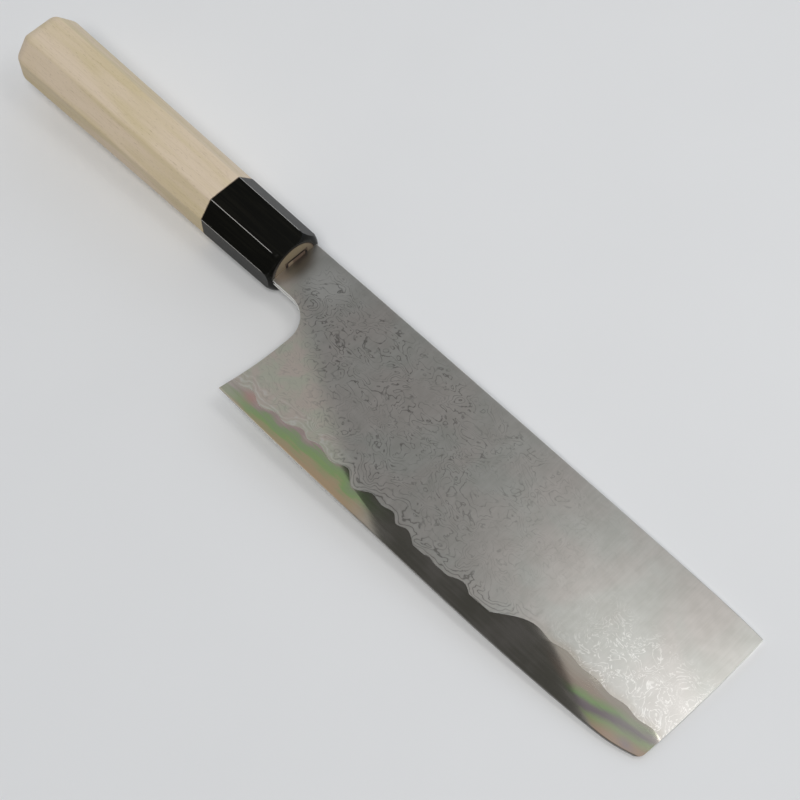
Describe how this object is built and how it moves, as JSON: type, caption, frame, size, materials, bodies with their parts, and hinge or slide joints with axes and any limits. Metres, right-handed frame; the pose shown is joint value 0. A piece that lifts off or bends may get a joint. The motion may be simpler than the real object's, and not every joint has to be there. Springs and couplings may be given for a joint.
{
  "type": "nakiri knife",
  "caption": "Straight-edged vegetable knife with a laminated, layer-patterned blade, an octagonal wooden handle and a black horn ferrule.",
  "frame": {"origin": "middle of the underside of the knife's box, as it lies on its left side with the blade level", "axes": "+X from the butt to the front of the blade, +Y from the edge to the spine, +Z out of the blade's right face"},
  "size_m": [0.309, 0.0588, 0.0222],
  "materials": {
    "core_steel": "polished hard steel with faint iridescent colours and a bright sharpened bevel",
    "layered_steel": "satin soft steel with fine dark contour lines of its layers",
    "buffalo_horn": "polished black horn with bright arrises",
    "magnolia_wood": "fine-sanded, unlacquered pale wood with soft lengthwise grain",
    "slot_filling": "dull brown filling with a paler patch beside its dark seam"
  },
  "bodies": {
    "root": {"blade_core": "core_steel", "cladding_right": "layered_steel", "cladding_left": "layered_steel", "horn_ferrule": "buffalo_horn", "handle_body": "magnolia_wood", "tang_bedding": "slot_filling"}
  },
  "joints": []
}
